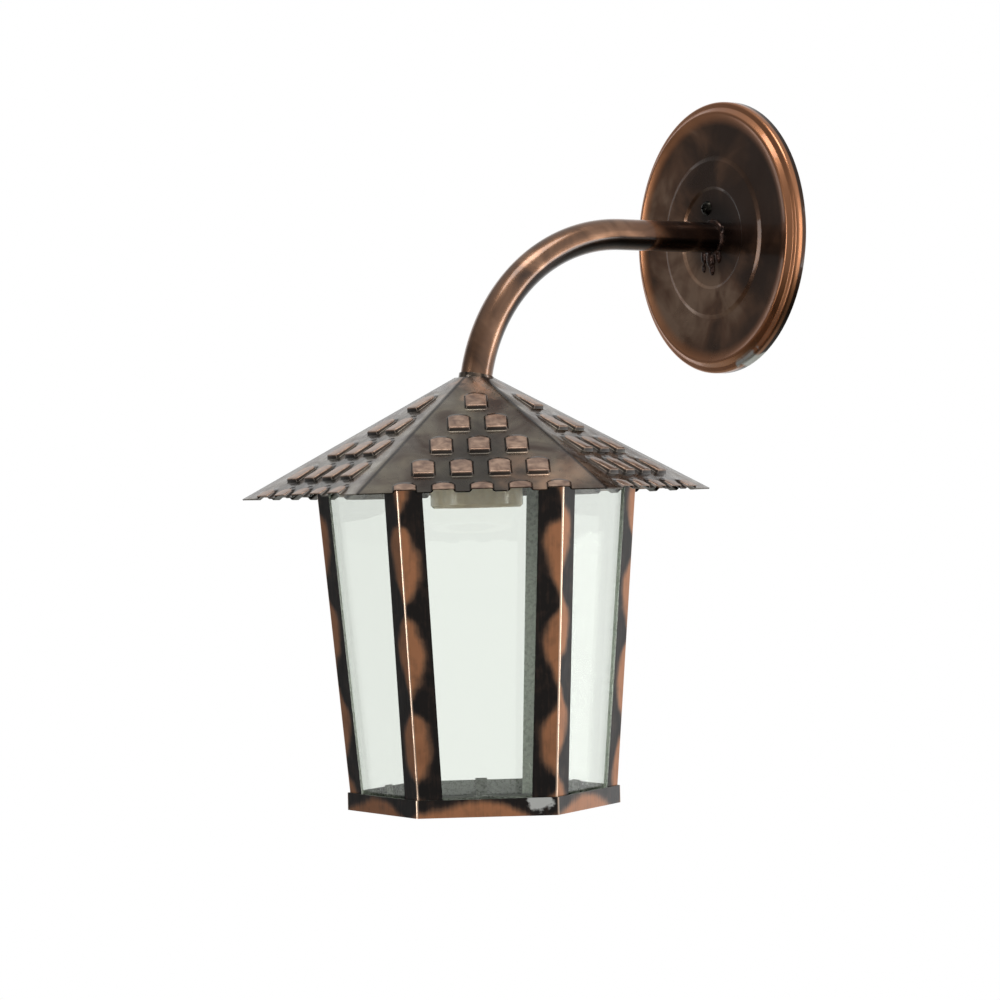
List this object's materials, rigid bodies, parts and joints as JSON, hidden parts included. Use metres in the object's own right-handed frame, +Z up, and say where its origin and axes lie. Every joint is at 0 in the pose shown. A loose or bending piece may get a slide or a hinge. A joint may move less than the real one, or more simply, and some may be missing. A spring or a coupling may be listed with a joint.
{
  "type": "hexagonal wall lantern",
  "caption": "Hexagonal wall lantern with a tile-embossed pyramid roof, glazed sides and an open tray floor, hung from a bent tube arm on a round wall plate.",
  "frame": {"origin": "centre of the wall plate's back, on the arm's axis", "axes": "+Z up, +Y into the wall, the lantern hangs on the -Y side"},
  "size_m": [0.233, 0.2582, 0.3586],
  "materials": {
    "patinated_copper": "copper-plated steel, chemically darkened and lacquered",
    "flamed_copper": "copper-plated steel, darkened in soft patches and lacquered",
    "zinc_steel": "zinc-plated steel",
    "black_steel": "glossy black oxide",
    "brass": "turned brass",
    "porcelain": "glazed beige porcelain",
    "clear_glass": "clear float glass",
    "wire_brown": "wire insulation",
    "wire_blue": "wire insulation",
    "wire_green": "wire insulation"
  },
  "bodies": {
    "root": {"wall_plate": "patinated_copper", "wall_bracket": "zinc_steel", "plate_screw": "black_steel", "earth_screw": "zinc_steel", "earth_lug": "zinc_steel", "arm_tube": "patinated_copper", "arm_plug": "brass", "lamp_nipple": "brass", "lamp_washer": "zinc_steel", "lamp_nut": "brass", "earth_tag": "zinc_steel", "wire_live": "wire_brown", "wire_neutral": "wire_blue", "wire_earth": "wire_green", "lead_ferrules": "zinc_steel", "roof": "patinated_copper", "top_ring": "zinc_steel", "frame_bridge": "zinc_steel", "bridge_rivets": "zinc_steel", "holder_bracket": "zinc_steel", "holder_screws": "zinc_steel", "holder_body": "porcelain", "holder_shell": "brass", "holder_contact": "brass", "holder_terminals": "brass", "terminal_screws": "brass", "post_1": "flamed_copper", "post_2": "flamed_copper", "post_3": "flamed_copper", "post_4": "flamed_copper", "post_5": "flamed_copper", "post_6": "flamed_copper", "glass_1": "clear_glass", "glass_2": "clear_glass", "glass_3": "clear_glass", "glass_4": "clear_glass", "glass_5": "clear_glass", "glass_6": "clear_glass", "bottom_tray": "flamed_copper"}
  },
  "joints": []
}
